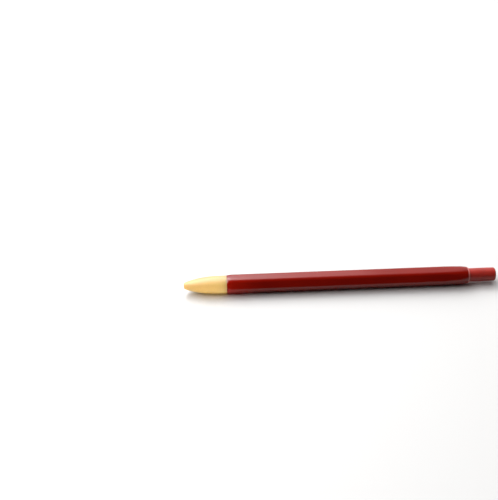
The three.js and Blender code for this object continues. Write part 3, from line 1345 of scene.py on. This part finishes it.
@dataclass
class Leads:
    """The lead in the clutch and the spare one in the tube."""

    palette: Palette
    chamfer: float = 0.25

    def build_lead(self, name: str, node: str, body: Body) -> None:
        """Turns one lead and lays it where its node lies.

        Args:
            name: The piece's name.
            node: The node that it stands for.
            body: The body that it rides on.
        """
        front, rear, radius = AXIS.span(node)
        piece = Workshop.turned(name, rounded([
            Corner(front, 0),
            Corner(front, radius, self.chamfer),
            Corner(rear, radius, self.chamfer),
            Corner(rear, 0),
        ]), steps=48)
        low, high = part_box(node)
        drop = (low.z + high.z) / 2 - AXIS.height
        for vertex in piece.data.vertices:
            vertex.co.z += drop
        Workshop.seat(piece, body, Slot.LEAD, self.palette.lead, node)

    def build(self) -> None:
        """Builds and dresses both leads."""
        self.build_lead("working_lead_stick", "working_lead", Body.LEAD)
        self.build_lead("spare_lead_stick", "spare_lead", Body.SPARE)


@dataclass(frozen=True)
class Softbox:
    """A soft lamp: its place, size and aim in metres, and its power in watts.

    The spread is the angle that its light fans out over. A lamp that isn't mirrored gives no gloss.
    """

    name: str
    place: Place
    size: tuple[float, float]
    power: float
    target: Place = (0.0, 0.0, 0.004)
    spread: float = math.pi
    mirrored: bool = True

    def light(self) -> None:
        """Hangs the lamp."""
        data = bpy.data.lights.new(self.name, "AREA")
        data.spread = self.spread
        data.shape = "RECTANGLE"
        data.size, data.size_y = self.size
        data.energy = self.power
        lamp = bpy.data.objects.new(self.name, data)
        lamp.location = self.place
        lamp.visible_glossy = self.mirrored
        aim = Vector(self.target) - Vector(self.place)
        lamp.rotation_euler = aim.to_track_quat("-Z", "Y").to_euler()
        bpy.context.scene.collection.objects.link(lamp)


@dataclass
class Studio:
    """The camera, the pale floor, the room and the lamps.

    Places and sizes are in metres, and the lens is in mm. The floor's bounce is its colour to light
    that bounces, and its glossy share is how much of that colour a mirroring face sees. The
    backdrop is the least strength of the room as the camera sees it.
    """

    camera_place: Place = (-0.0573, -0.2632, 0.2619)
    camera_aim: Place = (0.0414, 0.7427, -0.6683)
    lens: float = 57.17
    floor_size: float = 8.0
    floor_gap: float = 0.00004
    floor_colour: Colour = (0.89, 0.885, 0.88)
    floor_bounce: Colour = (0.36, 0.353, 0.342)
    floor_roughness: float = 0.9
    floor_specular: float = 0.1
    glossy_share: float = 0.6
    backdrop: float = 0.9
    room_colour: Colour = (1.0, 0.995, 0.985)
    room_strength: float = 0.015
    horizon_fade: tuple[float, float] = (0.02, 0.16)
    horizon_turn: tuple[float, float] = (-0.3, 0.3)
    horizon_front: float = 0.05
    horizon_back: float = 0.75
    wall_back: float = 0.87
    wall_up: float = 0.5
    wall_fade: tuple[float, float] = (0.35, 1.0)
    lamps: tuple[Softbox, ...] = (
        Softbox("back_softbox", (-0.14, 0.42, 0.41), (0.34, 0.42), 0.4),
        Softbox("side_softbox", (-0.09, 0.42, 0.41), (0.44, 0.42), 0.68),
        Softbox("top_softbox", (-0.35, 0.16, 0.6), (1.1, 0.26), 6.2),
        Softbox(
            "nose_softbox", (-0.2, -0.28, 0.02), (0.02, 0.02), 0.0015,
            target=(-0.0605, 0.0, 0.004), spread=0.105, mirrored=False,
        ),
    )

    def add_camera(self) -> None:
        """Puts the camera at the photograph's viewing angle."""
        data = bpy.data.cameras.new("camera")
        data.lens = self.lens
        camera = bpy.data.objects.new("camera", data)
        camera.location = self.camera_place
        camera.rotation_euler = Vector(self.camera_aim).to_track_quat("-Z", "Y").to_euler()
        bpy.context.scene.collection.objects.link(camera)
        bpy.context.scene.camera = camera

    def add_floor(self) -> None:
        """Lays the floor under the pencil: pale to the camera, darker to other rays."""
        Workshop.deselect()
        bpy.ops.mesh.primitive_plane_add(size=self.floor_size, location=(0, 0, -self.floor_gap))
        floor = Workshop.name(bpy.context.object, "floor")
        material = bpy.data.materials.new("floor_paper")
        shader = Shader(material)
        rays = shader.node("ShaderNodeLightPath").outputs
        glossy = Value(shader, rays["Is Glossy Ray"]) * self.glossy_share
        bounced = Value(shader, rays["Is Diffuse Ray"]) + glossy
        surface = shader.node("ShaderNodeBsdfPrincipled", {}, {
            "Base Color": shader.mixed(bounced, self.floor_colour, self.floor_bounce),
            "Roughness": self.floor_roughness,
            "Specular IOR Level": self.floor_specular,
        })
        shader.node("ShaderNodeOutputMaterial", {}, {"Surface": surface.outputs[0]})
        floor.data.materials.append(material)

    def add_world(self) -> None:
        """Surrounds the scene with a dim room, which the camera sees as pale.

        A pale band lies round the horizon, weaker in front, and a bright wall stands behind.
        """
        world = bpy.data.worlds.new("room")
        bpy.context.scene.world = world
        shader = Shader(world)
        direction = shader.node("ShaderNodeTexCoord").outputs["Generated"]
        parts = shader.node("ShaderNodeSeparateXYZ", {}, {"Vector": direction})
        _, back, up = (Value(shader, part) for part in parts.outputs)
        horizon = 1 - up.math("ABSOLUTE").rise(*self.horizon_fade)
        band = self.horizon_front + back.rise(*self.horizon_turn) * self.horizon_back
        wall = (up * self.wall_up + back * self.wall_back).rise(*self.wall_fade)
        strength = self.room_strength + horizon * band + wall
        seen = Value(shader, shader.node("ShaderNodeLightPath").outputs["Is Camera Ray"])
        background = shader.node("ShaderNodeBackground", {}, {
            "Color": (*self.room_colour, 1),
            "Strength": strength.math("MAXIMUM", seen * self.backdrop),
        })
        shader.node("ShaderNodeOutputWorld", {}, {"Surface": background.outputs[0]})

    def build(self) -> None:
        """Sets the studio up."""
        self.add_camera()
        self.add_floor()
        self.add_world()
        for lamp in self.lamps:
            lamp.light()
        bpy.context.scene.view_settings.view_transform = "Standard"
        LOG.info("studio: %d lamps", len(self.lamps))


def main() -> None:
    """Builds the studio and the pencil."""
    logging.basicConfig(level=logging.INFO, format="%(name)s: %(message)s")
    Studio().build()
    palette = Palette()
    for assembly in (Barrel, Nose, Clutch, Plunger, Leads):
        assembly(palette).build()


if __name__ == "__main__":
    main()
